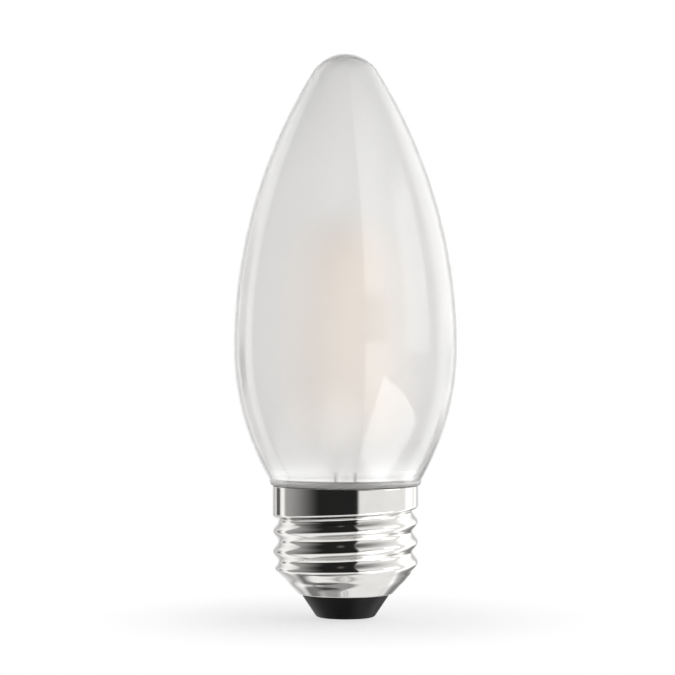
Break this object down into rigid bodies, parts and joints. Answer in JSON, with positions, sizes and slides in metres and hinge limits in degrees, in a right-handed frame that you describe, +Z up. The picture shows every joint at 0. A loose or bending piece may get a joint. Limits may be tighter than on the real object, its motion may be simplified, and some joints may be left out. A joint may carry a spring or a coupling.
{
  "type": "candle bulb",
  "caption": "Frosted torpedo-shaped filament lamp with a bright screw base, a black insulator and a flush centre contact",
  "frame": {"origin": "middle of the centre contact's outer face", "axes": "+Z up the lamp's axis from the contact to the glass tip, +X to the picture's right, +Y away from the camera"},
  "size_m": [0.0402, 0.0402, 0.1012],
  "materials": {
    "frosted_glass": "clear glossy outside, frosted inside, clear just above the base",
    "stem_glass": "clear drawn glass",
    "nickel_shell": "bright nickel plate on rolled sheet",
    "black_insulator": "moulded black, soft gloss",
    "contact_metal": "tinned brass",
    "cement": "matt basing cement",
    "circuit_board": "white solder mask",
    "moulded_black": "moulded epoxy",
    "capacitor_can": "plain can",
    "resistor_body": "lacquered ceramic",
    "solder": "bright solder",
    "phosphor": "phosphor-filled silicone over the chips",
    "wire": "bright drawn wire"
  },
  "bodies": {
    "root": {"glass_envelope": "frosted_glass", "glass_stem": "stem_glass", "screw_shell": "nickel_shell", "insulator": "black_insulator", "centre_contact": "contact_metal", "basing_cement": "cement", "driver_board": "circuit_board", "bridge_rectifier": "moulded_black", "driver_chip": "moulded_black", "chip_resistor_1": "moulded_black", "chip_resistor_2": "moulded_black", "smoothing_capacitor": "capacitor_can", "fuse_resistor": "resistor_body", "solder_joints": "solder", "led_filament_1": "phosphor", "led_filament_2": "phosphor", "led_filament_3": "phosphor", "led_filament_4": "phosphor", "filament_tab_lower_1": "wire", "filament_tab_lower_2": "wire", "filament_tab_lower_3": "wire", "filament_tab_lower_4": "wire", "filament_tab_upper_1": "wire", "filament_tab_upper_2": "wire", "filament_tab_upper_3": "wire", "filament_tab_upper_4": "wire", "lower_bracket_left": "wire", "lower_bracket_right": "wire", "top_support": "wire", "lead_in_wire_left": "wire", "lead_in_wire_right": "wire", "shell_lead": "wire", "fuse_lead": "wire", "contact_lead": "wire"}
  },
  "joints": []
}
